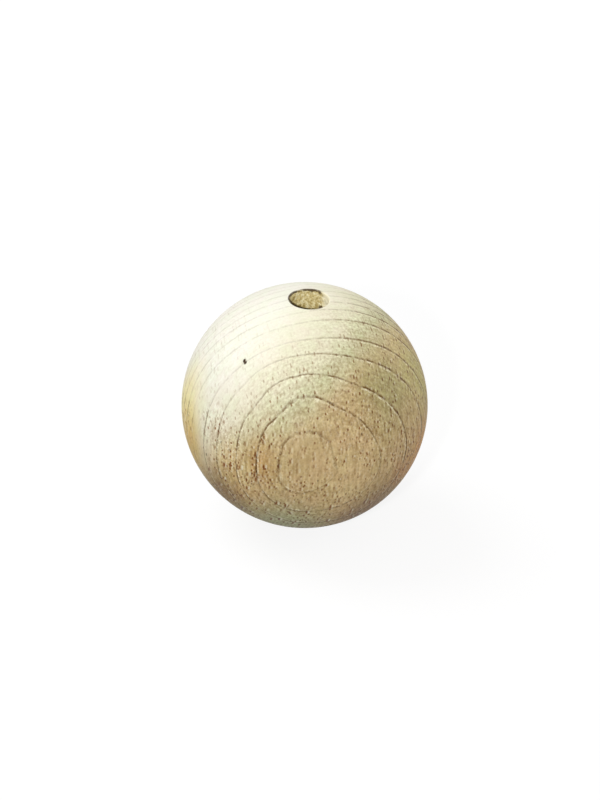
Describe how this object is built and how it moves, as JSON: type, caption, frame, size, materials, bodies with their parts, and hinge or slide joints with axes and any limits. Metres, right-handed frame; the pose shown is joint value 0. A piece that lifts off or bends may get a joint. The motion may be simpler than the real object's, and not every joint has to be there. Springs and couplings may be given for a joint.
{
  "type": "wooden ball",
  "caption": "Turned beech ball with a blind bore along the grain, for a dowel, a rod or a peg; a knob, a finial or a craft ball.",
  "frame": {"origin": "centre of the ball", "axes": "+Z along the bore and the grain, out of the mouth of the bore; +X and +Y are level, and -Y is the side that the picture shows"},
  "size_m": [0.05, 0.05, 0.0496],
  "materials": {
    "wood": "sanded smooth and bare, with no varnish or paint"
  },
  "bodies": {
    "root": {"ball": "wood"}
  },
  "joints": []
}
